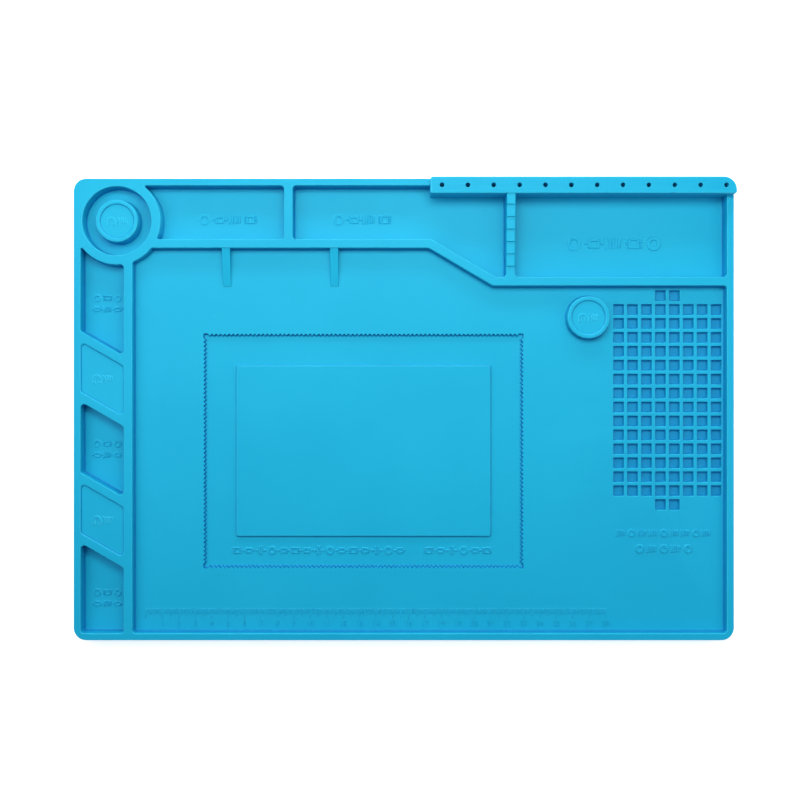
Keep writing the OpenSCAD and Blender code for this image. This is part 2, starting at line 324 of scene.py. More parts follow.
class Skin:
    """Gathers the rings and faces of a closed skin, in millimetres."""

    def __init__(self):
        self.points = []
        self.flat = []
        self.faces = []
        self.marks = {}

    def ring(self, outline, z, lay=None):
        """Points of an outline at z, or where lay puts them. Returns their numbers."""
        start = len(self.points)
        for u, v in outline:
            self.flat.append((u, v))
            self.points.append(lay(u, v, z) if lay else (u, v, z))
        return list(range(start, len(self.points)))

    def wall(self, corners, profile, lay=None, mark=0.0):
        """Rings along a profile, joined by quads. A mark puts its value in the edge attribute of the
        inner rings, where the material paints shade below 0 and a highlight above 0. Returns the first
        ring and the last.
        """
        rings = [self.ring(rounded(corners, inset), z, lay) for inset, z in profile]
        if mark:
            self.marks.update((i, mark) for ring in rings[1:-1] for i in ring)
        for a, b in zip(rings, rings[1:]):
            for i in range(len(a)):
                j = (i + 1) % len(a)
                self.faces.append((a[i], a[j], b[j], b[i]))
        return rings[0], rings[-1]

    def fill(self, *rings):
        """Flat face inside the first ring, with the other rings as holes in it."""
        index = [i for ring in rings for i in ring]
        edges = []
        for ring in rings:
            start = len(edges)
            edges += [(start + i, start + (i + 1) % len(ring)) for i in range(len(ring))]
        spots = [Vector(self.flat[i]) for i in index]
        points, _, triangles, origin, _, _ = delaunay_2d_cdt(spots, edges, [], 0, SPECK)
        corners = np.array([tuple(p) for p in points])
        triangles = np.array([list(t) for t in triangles])
        loops = [[self.flat[i] for i in ring] for ring in rings]
        keep = in_loops(corners[triangles].mean(1), loops)
        for triangle in triangles[keep]:
            self.faces.append(tuple(index[origin[k][0]] for k in triangle))

    def solid(self, corners, profile, lay=None):
        """Closed solid of one outline, capped at both ends."""
        first, last = self.wall(corners, profile, lay)
        self.fill(first)
        self.fill(last)

    def mesh(self, name, parts=(), marked=True):
        """The skin as a mesh in metres, welded to any parts that share its rings."""
        bm = bmesh.new()
        layer = bm.verts.layers.float.new("edge")
        verts = [bm.verts.new([c * MM for c in p]) for p in self.points]
        for i, mark in self.marks.items():
            verts[i][layer] = mark
        for face in self.faces:
            bm.faces.new([verts[i] for i in face])
        for part in parts:
            bm.from_mesh(part)
        bmesh.ops.remove_doubles(bm, verts=bm.verts, dist=WELD)
        bmesh.ops.dissolve_degenerate(bm, edges=bm.edges, dist=SPECK)
        bmesh.ops.recalc_face_normals(bm, faces=bm.faces)
        for face in bm.faces:
            face.smooth = True
        for edge in bm.edges:
            edge.smooth = len(edge.link_faces) == 2 and edge.calc_face_angle(0) < SHARP_ANGLE
        if marked:
            mark_edges(bm, bm.verts.layers.float["edge"])
        mesh = bpy.data.meshes.new(name)
        bm.to_mesh(mesh)
        bm.free()
        return mesh


def mark_edges(bm, layer):
    """Point attribute "edge": 1 on a rounded edge, -1 in a fillet, 0 on a flat. The material paints a
    highlight where it is above 0 and shade where it is below 0.
    """
    for vert in bm.verts:
        if vert[layer] or any(len(face.verts) == 3 for face in vert.link_faces):
            continue
        bends = [edge.calc_face_angle_signed(0.0) for edge in vert.link_edges]
        bend = sum(bend for bend in bends if abs(bend) < CREASE) / max(len(bends), 1)
        vert[layer] = max(-1.0, min(1.0, bend / FULL_BEND))


def place(name, mesh):
    """New object of a mesh, at the origin."""
    obj = bpy.data.objects.new(name, mesh)
    bpy.context.scene.collection.objects.link(obj)
    return obj


def settled(obj):
    """A plain mesh of the object with its modifiers applied."""
    bpy.context.view_layer.update()
    graph = bpy.context.evaluated_depsgraph_get()
    return bpy.data.meshes.new_from_object(obj.evaluated_get(graph), depsgraph=graph)


def piece(name, mesh, material, replaced=()):
    """Finished piece on the mat's one body, with its flats kept flat by weighted normals."""
    obj = place(name, mesh)
    weigh = obj.modifiers.new("flats", "WEIGHTED_NORMAL")
    weigh.keep_sharp = True
    weigh.weight = 100
    obj.data = settled(obj)
    obj.modifiers.remove(weigh)
    obj.data.materials.clear()
    obj.data.materials.append(material)
    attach(obj, BODY)
    if replaced:
        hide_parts(*replaced)


# ---------------------------------------------------------------- repeated shapes by Geometry Nodes


def add_input(tree, name, kind, value=None):
    socket = tree.interface.new_socket(name, in_out="INPUT", socket_type=kind)
    if value is not None:
        socket.default_value = value


def feed(tree, source, socket):
    """Give a socket a number, or link another node's output to it."""
    if isinstance(source, (int, float)):
        socket.default_value = source
    else:
        tree.links.new(source, socket)


def math_node(tree, operation, *values):
    """Output of a Math node fed with numbers or other nodes' outputs."""
    node = tree.nodes.new("ShaderNodeMath")
    node.operation = operation
    for value, socket in zip(values, node.inputs):
        feed(tree, value, socket)
    return node.outputs[0]


def new_growth(name, inputs):
    """Geometry Nodes tree with these inputs, and the outputs that hand them on."""
    tree = bpy.data.node_groups.new(name, "GeometryNodeTree")
    tree.interface.new_socket("Geometry", in_out="OUTPUT", socket_type="NodeSocketGeometry")
    for label, kind, value in inputs:
        add_input(tree, label, kind, value)
    return tree, tree.nodes.new("NodeGroupInput").outputs


def copies_on(tree, points, template):
    """Node that puts copies of a template object on points."""
    source = tree.nodes.new("GeometryNodeObjectInfo")
    tree.links.new(template, source.inputs["Object"])
    copies = tree.nodes.new("GeometryNodeInstanceOnPoints")
    tree.links.new(points, copies.inputs["Points"])
    tree.links.new(source.outputs["Geometry"], copies.inputs["Instance"])
    return copies


def finish_tree(tree, geometry, material):
    """Realize the instances, set their material and put them out."""
    real = tree.nodes.new("GeometryNodeRealizeInstances")
    tree.links.new(geometry, real.inputs["Geometry"])
    finish = tree.nodes.new("GeometryNodeSetMaterial")
    tree.links.new(real.outputs["Geometry"], finish.inputs["Geometry"])
    tree.links.new(material, finish.inputs["Material"])
    out = tree.nodes.new("NodeGroupOutput")
    tree.links.new(finish.outputs["Geometry"], out.inputs["Geometry"])


def grid_points(tree, given):
    """Points of a grid, with only those near its middle left in its first and last rows."""
    columns, rows, pitch = given["Columns"], given["Rows"], given["Pitch"]
    half_x = math_node(tree, "MULTIPLY", math_node(tree, "SUBTRACT", columns, 1), 0.5)
    half_y = math_node(tree, "MULTIPLY", math_node(tree, "SUBTRACT", rows, 1), 0.5)
    grid = tree.nodes.new("GeometryNodeMeshGrid")
    size_x = math_node(tree, "MULTIPLY", math_node(tree, "MULTIPLY", half_x, 2), pitch)
    size_y = math_node(tree, "MULTIPLY", math_node(tree, "MULTIPLY", half_y, 2), pitch)
    tree.links.new(size_x, grid.inputs["Size X"])
    tree.links.new(size_y, grid.inputs["Size Y"])
    tree.links.new(columns, grid.inputs["Vertices X"])
    tree.links.new(rows, grid.inputs["Vertices Y"])
    here = tree.nodes.new("ShaderNodeSeparateXYZ")
    tree.links.new(tree.nodes.new("GeometryNodeInputPosition").outputs[0], here.inputs[0])
    away_x, away_y = (math_node(tree, "ABSOLUTE", here.outputs[i]) for i in (0, 1))
    end_y = math_node(tree, "MULTIPLY", math_node(tree, "SUBTRACT", half_y, 0.5), pitch)
    in_end_row = math_node(tree, "GREATER_THAN", away_y, end_y)
    off_middle = math_node(tree, "GREATER_THAN", away_x, given["End Width"])
    drop = tree.nodes.new("GeometryNodeDeleteGeometry")
    tree.links.new(grid.outputs["Mesh"], drop.inputs["Geometry"])
    tree.links.new(math_node(tree, "MULTIPLY", in_end_row, off_middle), drop.inputs["Selection"])
    return drop.outputs["Geometry"]


def cup_field_tree():
    """Copies of one cup on a grid."""
    tree, given = new_growth(
        "cup_field",
        [
            ("Columns", "NodeSocketInt", 1),
            ("Rows", "NodeSocketInt", 1),
            ("Pitch", "NodeSocketFloat", 0.01),
            ("Centre", "NodeSocketVector", None),
            ("End Width", "NodeSocketFloat", 1.0),
            ("Cup", "NodeSocketObject", None),
            ("Material", "NodeSocketMaterial", None),
        ],
    )
    copies = copies_on(tree, grid_points(tree, given), given["Cup"])
    shift = tree.nodes.new("GeometryNodeTransform")
    tree.links.new(copies.outputs["Instances"], shift.inputs["Geometry"])
    tree.links.new(given["Centre"], shift.inputs["Translation"])
    finish_tree(tree, shift.outputs["Geometry"], given["Material"])
    return tree


def mark_length(tree, given):
    """Stretch of each mark: a step longer at each fifth, and another at each tenth."""
    index = tree.nodes.new("GeometryNodeInputIndex").outputs[0]
    fifth = math_node(tree, "LESS_THAN", math_node(tree, "MODULO", index, 5), 0.5)
    tenth = math_node(tree, "LESS_THAN", math_node(tree, "MODULO", index, 10), 0.5)
    extra = math_node(tree, "MULTIPLY", math_node(tree, "ADD", fifth, tenth), given["Step"])
    length = math_node(tree, "ADD", given["Short"], extra)
    size = tree.nodes.new("ShaderNodeCombineXYZ")
    size.inputs["X"].default_value = 1
    size.inputs["Z"].default_value = 1
    tree.links.new(math_node(tree, "DIVIDE", length, MM), size.inputs["Y"])
    return size.outputs[0]


def rule_tree():
    """Marks of a rule along X, one a millimetre."""
    tree, given = new_growth(
        "rule",
        [
            ("Marks", "NodeSocketInt", 11),
            ("Start", "NodeSocketVector", None),
            ("Short", "NodeSocketFloat", 0.003),
            ("Step", "NodeSocketFloat", 0.0014),
            ("Mark", "NodeSocketObject", None),
            ("Material", "NodeSocketMaterial", None),
        ],
    )
    line = tree.nodes.new("GeometryNodeMeshLine")
    line.mode = "OFFSET"
    tree.links.new(given["Marks"], line.inputs["Count"])
    tree.links.new(given["Start"], line.inputs["Start Location"])
    line.inputs["Offset"].default_value = (MM, 0, 0)
    copies = copies_on(tree, line.outputs["Mesh"], given["Mark"])
    tree.links.new(mark_length(tree, given), copies.inputs["Scale"])
    finish_tree(tree, copies.outputs["Instances"], given["Material"])
    return tree


def grown(tree, template, **values):
    """Plain mesh that a tree makes from its inputs. The template it copies is removed."""
    holder = place("holder", bpy.data.meshes.new("holder"))
    maker = holder.modifiers.new("grow", "NODES")
    maker.node_group = tree
    names = {item.name: item.identifier for item in tree.interface.items_tree}
    for name, value in values.items():
        maker[names[name.replace("_", " ")]] = value
    mesh = settled(holder)
    bpy.data.objects.remove(holder)
    bpy.data.objects.remove(template)
    return mesh


# ---------------------------------------------------------------- pockets, floors and bosses


def sloped(y, x):
    """Y at x of a line of the column's sloping walls that is at y on the column's centre line."""
    return y - (x - (IN_LEFT + COLUMN_LEFT) / 2) * math.tan(CELL_SLOPE)


def column_cell(far, near, radius=POCKET_R):
    """Outline of a cell between two lines given by their Y on the column's centre line."""
    return [
        (IN_LEFT, sloped(near, IN_LEFT), radius),
        (COLUMN_LEFT, sloped(near, COLUMN_LEFT), radius),
        (COLUMN_LEFT, sloped(far, COLUMN_LEFT), radius),
        (IN_LEFT, sloped(far, IN_LEFT), radius),
    ]


def pad_faces(node):
    """Y of a pad's outer far face, inner far face, inner near face and outer near face."""
    low, high = span(node)
    drop = (COLUMN_LEFT - IN_LEFT) / 2 * math.tan(CELL_SLOPE)
    wall = (COLUMN_RIGHT - COLUMN_LEFT) / math.cos(CELL_SLOPE)
    far, near = high[1] - drop, low[1] + drop
    return far, far - wall, near + wall, near


def far_cell():
    near = pad_faces("upper_pad")[0]
    right = (COLUMN_LEFT, ring_y(COLUMN_LEFT))
    left = (IN_LEFT, ring_y(IN_LEFT))
    return [
        (IN_LEFT, sloped(near, IN_LEFT), POCKET_R),
        (COLUMN_LEFT, sloped(near, COLUMN_LEFT), POCKET_R),
        (*right, POCKET_R),
        *arc_inside(right, left, 7),
        (*left, NOOK_R),
    ]


def middle_cell():
    return column_cell(pad_faces("upper_pad")[3], pad_faces("lower_pad")[0])


def near_cell():
    far = pad_faces("lower_pad")[3]
    return [
        (IN_LEFT, IN_NEAR, POCKET_R),
        (COLUMN_LEFT, IN_NEAR, POCKET_R),
        (COLUMN_LEFT, sloped(far, COLUMN_LEFT), POCKET_R),
        (IN_LEFT, sloped(far, IN_LEFT), POCKET_R),
    ]


def far_pocket_left():
    top = (ring_x(IN_FAR), IN_FAR)
    low = (ring_x(WALL_FAR), WALL_FAR)
    return [
        (*low, NOOK_R),
        (PARTITION_LEFT, WALL_FAR, POCKET_R),
        (PARTITION_LEFT, IN_FAR, POCKET_R),
        (*top, NOOK_R),
        *arc_inside(top, low, 8),
    ]


def far_pocket_middle():
    return [
        (PARTITION_RIGHT, WALL_FAR, POCKET_R),
        (SLANT_FAR_START, WALL_FAR, POCKET_R),
        (SLANT_STOP, LOW_FAR, POCKET_R),
        (STEP_LEFT, LOW_FAR, POCKET_R),
        (STEP_LEFT, IN_FAR, POCKET_R),
        (PARTITION_RIGHT, IN_FAR, POCKET_R),
    ]


def far_pocket_right():
    return rectangle(STEP_RIGHT, LOW_FAR, IN_RIGHT, IN_FAR, POCKET_R)


def work_area():
    top = (ring_x(WALL_NEAR), WALL_NEAR)
    low = (COLUMN_RIGHT, ring_y(COLUMN_RIGHT))
    return [
        (COLUMN_RIGHT, IN_NEAR, POCKET_R),
        (IN_RIGHT, IN_NEAR, POCKET_R),
        (IN_RIGHT, LOW_NEAR, POCKET_R),
        (SLANT_NEAR_STOP, LOW_NEAR, POCKET_R),
        (SLANT_START, WALL_NEAR, POCKET_R),
        (*top, POCKET_R),
        *arc_inside(top, low, 6),
        (*low, POCKET_R),
    ]


def bay_teeth():
    """Saw-tooth outline of the board bay, teeth pointing in. Its corners have no tooth."""
    half = [n * TOOTH_PITCH / 2 for n in TEETH]
    corners = []
    for side in range(4):
        turn = side * math.pi / 2
        along, across = half[side % 2], half[1 - side % 2]
        count = TEETH[side % 2]
        row = [(0, 0, BAY_CORNER_R), (count - 1, 0, 0.0)]
        row[1:1] = [(i + s / 2, s * TOOTH_DEPTH, 0.0) for i in range(1, count - 1) for s in (0, 1)]
        for step, depth, r in row:
            u = step * TOOTH_PITCH - along
            v = depth - across
            corners.append((
                BAY_X + u * math.cos(turn) - v * math.sin(turn),
                BAY_Y + u * math.sin(turn) + v * math.cos(turn),
                r,
            ))
    return corners


def pit_square(x, y):
    half = PIT_SIDE / 2
    return rectangle(x - half, y - half, x + half, y + half, PIT_R)


def pit_centres():
    """Centres of the screw pits, with only the middle columns in the first and last rows."""
    columns, rows = PIT_GRID
    spots = []
    for column in range(columns):
        for row in range(rows):
            if row in (0, rows - 1) and column not in END_PITS:
                continue
            spots.append((
                PIT_CENTRE[0] + (column - (columns - 1) / 2) * PIT_PITCH,
                PIT_CENTRE[1] + (row - (rows - 1) / 2) * PIT_PITCH,
            ))
    return spots


PIT_PROFILE = pocket_profile(FLOOR_Z, POCKET_Z, edge=0.3, foot=0.6, draft=0.25)
HOLE_R = HOLES[0]["dims"]["r_mm"]
HOLE_PROFILE = pocket_profile(
    BAR_Z, BAR_Z - HOLES[0]["dims"]["length_mm"], edge=0.3, foot=0.3, draft=0.1, steps=2
)


def pit_cup():
    skin = Skin()
    # The floor is one n-gon rather than triangles, so its points take the fillet's bend and the whole
    # pit floor is painted in shade.
    skin.faces.append(tuple(skin.wall(pit_square(0, 0), PIT_PROFILE)[1]))
    return place("pit_cup", skin.mesh("pit_cup"))


def hole_cup():
    skin = Skin()
    skin.fill(skin.wall(circle(0, 0, HOLE_R, HOLE_POINTS), HOLE_PROFILE)[1])
    return place("hole_cup", skin.mesh("hole_cup"))


def boss(skin, x, y, floor):
    """Round boss with a dished top. Returns the ring of its foot."""
    top, foot = skin.wall(circle(x, y, BOSS_R), island_profile(RIM_Z, floor, edge=0.5))
    dish = pocket_profile(RIM_Z, DISH_Z, edge=0.45, foot=0.45, draft=0.2)
    rim, low = skin.wall(circle(x, y, DISH_R), dish)
    skin.fill(top, rim)
    skin.fill(low)
    return foot


def floors(skin):
    """Every pocket, pad and floor below the rim. Returns the rings of their mouths."""
    deep = pocket_profile(RIM_Z, POCKET_Z)
    mouths = []
    for corners in (
        far_cell(), middle_cell(), near_cell(),
        far_pocket_left(), far_pocket_middle(), far_pocket_right(),
    ):
        mouth, low = skin.wall(corners, deep)
        skin.fill(low)
        mouths.append(mouth)
    for node in ("upper_pad", "lower_pad"):
        _, far, near, _ = pad_faces(node)
        shallow = pocket_profile(RIM_Z, DISH_Z, edge=0.48, foot=0.48, draft=0.3)
        mouth, low = skin.wall(column_cell(far, near), shallow)
        skin.fill(low)
        mouths.append(mouth)
    mouth, low = skin.wall(circle(WELL_X, WELL_Y, WELL_R, WELL_POINTS), deep)
    skin.fill(low, boss(skin, WELL_X, WELL_Y, POCKET_Z))
    mouths.append(mouth)
    mouths.append(work_floor(skin))
    return mouths


def work_floor(skin):
    """Main floor with its boss, board bay and screw pits. Returns the ring of its mouth."""
    mouth, low = skin.wall(work_area(), pocket_profile(RIM_Z, FLOOR_Z))
    bay = pocket_profile(FLOOR_Z, BAY_Z, edge=0.15, foot=0.75, draft=0.08, steps=2)
    # The mark of -1 on this wall's inner rings paints the teeth's notches and the bay's foot in shade.
    bay_mouth, bay_low = skin.wall(bay_teeth(), bay, mark=-1.0)
    half_x, half_y = PLATFORM_SIZE[0] / 2, PLATFORM_SIZE[1] / 2
    outline = rectangle(
        BAY_X - half_x, BAY_Y - half_y, BAY_X + half_x, BAY_Y + half_y, PLATFORM_R
    )
    step = island_profile(PLATFORM_Z, BAY_Z, edge=0.4, foot=0.6, draft=0.1)
    platform, platform_foot = skin.wall(outline, step)
    skin.fill(platform)
    skin.fill(bay_low, platform_foot)
    inset, z = PIT_PROFILE[0]
    pits = [skin.ring(rounded(pit_square(x, y), inset), z) for x, y in pit_centres()]
    skin.fill(low, boss(skin, BOSS_X, BOSS_Y, FLOOR_Z), bay_mouth, *pits)
    return mouth


def underside(skin, low):
    """Flat underside with the four round cavities that the plugs close."""
    mouths = []
    cavity = [(inset, -z) for inset, z in edge_down(0, 0.25)] + [(0, MAGNET_TOP)]
    for name in MAGNET_SPOTS:
        x, y = middle(name + "_plug")
        mouth, roof = skin.wall(circle(x, y, PLUG_R + PLUG_GAP, DISC_POINTS), cavity)
        skin.fill(roof)
        mouths.append(mouth)
    skin.fill(low, *mouths)


def outer_side():
    """Profile of the outer side, from the top of the rim to the underside."""
    down = [(SIDE_DRAFT - inset, z) for inset, z in edge_down(RIM_Z, EDGE_R)]
    foot = foot_out(0, 0, OUTER_FOOT_R)
    return [(PROUD + inset, z) for inset, z in down + foot]


def mat_skin(pits):
    skin = Skin()
    outline = rectangle(BASE_LOW[0], BASE_LOW[1], BASE_HIGH[0], BASE_HIGH[1], CORNER_R)
    top, low = skin.wall(outline, outer_side())
    skin.fill(top, *floors(skin))
    underside(skin, low)
    return skin.mesh("mat_skin", [pits])


# ---------------------------------------------------------------- bar, steps and ribs


def bar_skin(cups):
    """Raised bar over the far rim, flush with the mat's outer side."""
    skin = Skin()
    outline = [
        (BAR_LEFT, BAR_NEAR, BAR_CORNER_R),
        (BAR_RIGHT, BAR_NEAR, BAR_CORNER_R),
        (BAR_RIGHT, BAR_FAR, CORNER_R),
        (BAR_LEFT, BAR_FAR, BAR_END_R),
    ]
    down = [(BAR_DRAFT - inset, z) for inset, z in edge_down(BAR_Z, BAR_EDGE_R)]
    top, low = skin.wall(outline, down + [(0.0, 0.5)])
    inset, z = HOLE_PROFILE[0]
    mouths = []
    for hole in HOLES:
        x, y = hole["pos_m"][0] / MM, hole["pos_m"][1] / MM
        mouths.append(skin.ring(rounded(circle(x, y, HOLE_R, HOLE_POINTS), inset), z))
    skin.fill(top, *mouths)
    skin.fill(low)
    return skin.mesh("bar_skin", [cups])


def sideways(u, v, w):
    """A side view (Y, Z) swept along X."""
    return (w, u, v)


def steps_skin():
    """Stepped wall from the pocket wall up to the bar."""
    rise = (BAR_Z - RIM_Z) / RISERS
    corners = [(RISER_Y, POCKET_Z + 1, 0.0), (BAR_NEAR + 1, POCKET_Z + 1, 0.0)]
    corners.append((BAR_NEAR + 1, BAR_Z - rise, 0.0))
    for i in reversed(range(RISERS - 1)):
        y = RISER_Y + i * RISER_PITCH
        corners.append((y, RIM_Z + (i + 1) * rise, 0.3))
        if i:
            corners.append((y, RIM_Z + i * rise, 0.12))
    skin = Skin()
    profile = slab_profile(STEP_LEFT - PROUD, STEP_RIGHT + PROUD, 0.6)
    skin.solid(corners, profile, sideways)
    return skin.mesh("steps_skin", marked=False)


def rib_skin(node):
    """Low rib whose top falls away in a straight slope from the pocket wall."""
    low, high = span(node)
    fall = (high[2] - low[2] - RIB_END) / (high[1] - low[1])
    corners = [
        (low[1], low[2] - 1, 0.0),
        (high[1] + 1, low[2] - 1, 0.0),
        (high[1] + 1, high[2] + fall, 0.0),
        (low[1], low[2] + RIB_END, 0.3),
    ]
    skin = Skin()
    skin.solid(corners, slab_profile(low[0], high[0], 0.3), sideways)
    return skin.mesh(node + "_skin", marked=False)


# ---------------------------------------------------------------- rule and small raised signs


RULE_RUN = round(RULE_HIGH[0] - RULE_LOW[0])
HALF_MARK = (RULE_HIGH[0] - RULE_LOW[0] - RULE_RUN) / 2
FIRST_MARK = RULE_LOW[0] + HALF_MARK


def rule_mark():
    """Mark 1 mm long, towards the user, which the rule stretches."""
    skin = Skin()
    top = FLOOR_Z + MARK_HEIGHT
    down = [(0.06, top), (0, top - 0.08), (-0.02, FLOOR_Z + 0.08), (-0.1, FLOOR_Z + 0.01)]
    skin.solid(rectangle(-HALF_MARK, -UNIT_MARK, HALF_MARK, 0), [*down, (-0.1, FLOOR_Z - 0.4)])
    return place("rule_mark", skin.mesh("rule_mark"))


def numerals():
    """Raised numbers under the centimetre marks."""
    meshes = []
    for number in range(1, RULE_RUN // 10 + 1):
        text = bpy.data.curves.new("numeral", "FONT")
        text.body = str(number)
        text.align_x = "CENTER"
        text.align_y = "TOP"
        text.size = NUMERAL_SIZE * MM
        text.extrude = NUMERAL_HEIGHT * MM
        text.offset = -0.02 * MM
        text.resolution_u = 3
        holder = place("numeral", text)
        mesh = settled(holder)
        bpy.data.objects.remove(holder)
        x, y = FIRST_MARK + 10 * number, RULE_LOW[1] - NUMERAL_GAP
        spot = Vector((x * MM, y * MM, FLOOR_Z * MM))
        for vertex in mesh.vertices:
            vertex.co += spot
        meshes.append(mesh)
    return Skin().mesh("numerals", meshes)


SIGN_GAP = 1.42
SIGN_HEIGHT = 0.5
LOW_SIGN_HEIGHT = 0.3
PLUS_SIGN = [
    (-0.3, -0.08, 0), (-0.08, -0.08, 0), (-0.08, -0.3, 0), (0.08, -0.3, 0),
    (0.08, -0.08, 0), (0.3, -0.08, 0), (0.3, 0.08, 0), (0.08, 0.08, 0),
    (0.08, 0.3, 0), (-0.08, 0.3, 0), (-0.08, 0.08, 0), (-0.3, 0.08, 0),
]


class Signs:
    """Raised signs: flat shapes with a softened top edge, given in units of a size in mm."""

    def __init__(self):
        self.skin = Skin()
        self.x = self.y = self.floor = 0.0
        self.size = self.height = 1.0

    def at(self, x, y, floor, size):
        """Where the next sign goes. It stands lower in a dish or on a pad."""
        self.x, self.y, self.floor, self.size = x, y, floor, size
        self.height = LOW_SIGN_HEIGHT if floor == DISH_Z else SIGN_HEIGHT

    def lay(self, corners):
        """The corners of a sign in millimetres, in the sign's place."""
        return [(self.x + u * self.size, self.y + v * self.size, r * self.size) for u, v, r in corners]

    def shape(self, corners, *holes):
        """Raised shape whose sides flare out at the foot into the floor."""
        top = self.floor + self.height
        foot = self.floor + 0.02
        # The sides bend out into a flared foot, and that concave bend is painted in shade around each
        # sign.
        side = [(0.15, top), (0.0, top - 0.15), (-0.06, foot + 0.16), (-0.32, foot)]
        side.append((-0.32, self.floor - 0.3))
        walls = [self.skin.wall(self.lay(corners), side)]
        inward = [(-inset, z) for inset, z in side]
        walls += [self.skin.wall(self.lay(hole), inward) for hole in holes]
        self.skin.fill(*(first for first, _ in walls))
        self.skin.fill(*(last for _, last in walls))

    def bar(self, x0, y0, x1, y1, width=0.12):
        """Straight stroke with rounded ends."""
        u = Vector((x1 - x0, y1 - y0)).normalized() * (width / 2)
        n = Vector((-u.y, u.x))
        r = width * 0.45
        self.shape([
            (x0 - u.x - n.x, y0 - u.y - n.y, r),
            (x1 + u.x - n.x, y1 + u.y - n.y, r),
            (x1 + u.x + n.x, y1 + u.y + n.y, r),
            (x0 - u.x + n.x, y0 - u.y + n.y, r),
        ])

    def nut(self):
        self.shape(circle(0, 0, 0.55, 6), circle(0, 0, 0.28, 20))

    def washer(self):
        self.shape(circle(0, 0, 0.5, 28), circle(0, 0, 0.24, 18))

    def resistor(self):
        self.shape(rectangle(-0.42, -0.32, 0.42, 0.32, 0.08), rectangle(-0.25, -0.15, 0.25, 0.15, 0.04))
        self.bar(-0.62, 0, -0.54, 0, 0.14)
        self.bar(0.54, 0, 0.62, 0, 0.14)

    def capacitor(self):
        for side in (-1, 1):
            self.bar(side * 0.14, -0.44, side * 0.14, 0.44, 0.15)
            self.bar(side * 0.36, 0, side * 0.6, 0, 0.14)

    def screw(self):
        self.shape([(-0.64, -0.5, 0.04), (-0.4, -0.24, 0.04), (-0.4, 0.24, 0.04), (-0.64, 0.5, 0.04)])
        for i in range(4):
            x = -0.26 + i * 0.22
            tall = 0.34 - 0.03 * i
            self.bar(x, -tall, x + 0.06, tall)

    def screw_head(self):
        self.shape(circle(0, 0, 0.5, 28), PLUS_SIGN)

    def chip(self):
        self.shape(rectangle(-0.36, -0.36, 0.36, 0.36, 0.05), rectangle(-0.22, -0.22, 0.22, 0.22, 0.03))
        for i in range(4):
            v = -0.27 + i * 0.18
            self.bar(-0.54, v, -0.46, v, 0.09)
            self.bar(0.46, v, 0.54, v, 0.09)

    def magnet(self):
        """Horseshoe with two separate tips."""
        arch = [math.pi * i / 10 for i in range(11)]
        outer = [(0.5 * math.cos(a), 0.5 * math.sin(a), 0.0) for a in arch]
        inner = [(0.22 * math.cos(a), 0.22 * math.sin(a), 0.0) for a in reversed(arch)]
        ends = [(-0.5, -0.25, 0), (-0.22, -0.25, 0)]
        self.shape([(0.5, -0.25, 0), *outer, *ends, *inner, (0.22, -0.25, 0)])
        for side in (-1, 1):
            self.shape(rectangle(side * 0.36 - 0.14, -0.6, side * 0.36 + 0.14, -0.36, 0.02))


def sign_rows():
    """Each row of signs: its middle, floor, sign size and signs, for what the place holds."""
    parts = ("nut", "resistor", "screw", "chip")
    board = ("chip", "resistor", "capacitor", "washer", "resistor")
    screws = ("screw", "screw_head", "screw")
    rows = [
        (-107.8, 116.0, POCKET_Z, 6.6, parts),
        (-25.7, 116.0, POCKET_Z, 6.6, parts),
        (128.5, 101.4, POCKET_Z, 8.6, (*parts, "washer")),
        (-52.0, -86.2, BAY_Z, 5.0, board * 3),
        (33.0, -86.2, BAY_Z, 5.0, (*board, "chip")),
        (158.5, -75.4, FLOOR_Z, 4.6, screws * 3),
        (158.5, -85.0, FLOOR_Z, 5.2, ("screw_head", *screws, "screw_head")),
    ]
    for x, y in ((-181.2, 64.6), (-181.2, -24.4), (-181.2, -115.4)):
        rows.append((x, y + 3.4, POCKET_Z, 4.4, ("nut", "chip", "washer")))
        rows.append((x, y - 3.4, POCKET_Z, 4.4, ("resistor", "screw", "resistor")))
    for x, y in (middle("upper_pad"), middle("lower_pad"), (WELL_X, WELL_Y), (BOSS_X, BOSS_Y)):
        rows.append((x, y, DISH_Z, 4.8, ("magnet", "screw")))
    return rows


def signs_mesh():
    signs = Signs()
    for x, y, floor, size, names in sign_rows():
        for i, name in enumerate(names):
            signs.at(x + (i - (len(names) - 1) / 2) * SIGN_GAP * size, y, floor, size)
            getattr(signs, name)()
    return signs.skin.mesh("signs")


# ---------------------------------------------------------------- shader node groups


def new_group(name, inputs, outputs):
    """Shader node group, what it is given, and the sockets that it puts out."""
    tree = bpy.data.node_groups.new(name, "ShaderNodeTree")
    for label, kind, value in inputs:
        add_input(tree, label, kind, value)
    for label, kind in outputs:
        tree.interface.new_socket(label, in_out="OUTPUT", socket_type=kind)
    return tree, tree.nodes.new("NodeGroupInput").outputs, tree.nodes.new("NodeGroupOutput").inputs


def bump(tree, height, distance, strength, normal=None):
    """Normal of a surface raised by height, on top of another normal where one is given."""
    node = tree.nodes.new("ShaderNodeBump")
    node.inputs["Distance"].default_value = distance
    tree.links.new(height, node.inputs["Height"])
    feed(tree, strength, node.inputs["Strength"])
    if normal is not None:
        tree.links.new(normal, node.inputs["Normal"])
    return node.outputs[0]


def noise(tree, vector, scale, detail=2.0, rough=0.5):
    node = tree.nodes.new("ShaderNodeTexNoise")
    node.inputs["Detail"].default_value = detail
    node.inputs["Roughness"].default_value = rough
    tree.links.new(vector, node.inputs["Vector"])
    feed(tree, scale, node.inputs["Scale"])
    return node.outputs["Fac"]


def ramp(tree, value, low, high, to_low=0.0, to_high=1.0):
    """A value between low and high spread from to_low to to_high."""
    node = tree.nodes.new("ShaderNodeMapRange")
    node.inputs["From Min"].default_value = low
    node.inputs["From Max"].default_value = high
    node.inputs["To Min"].default_value = to_low
    node.inputs["To Max"].default_value = to_high
    tree.links.new(value, node.inputs["Value"])
    return node.outputs["Result"]


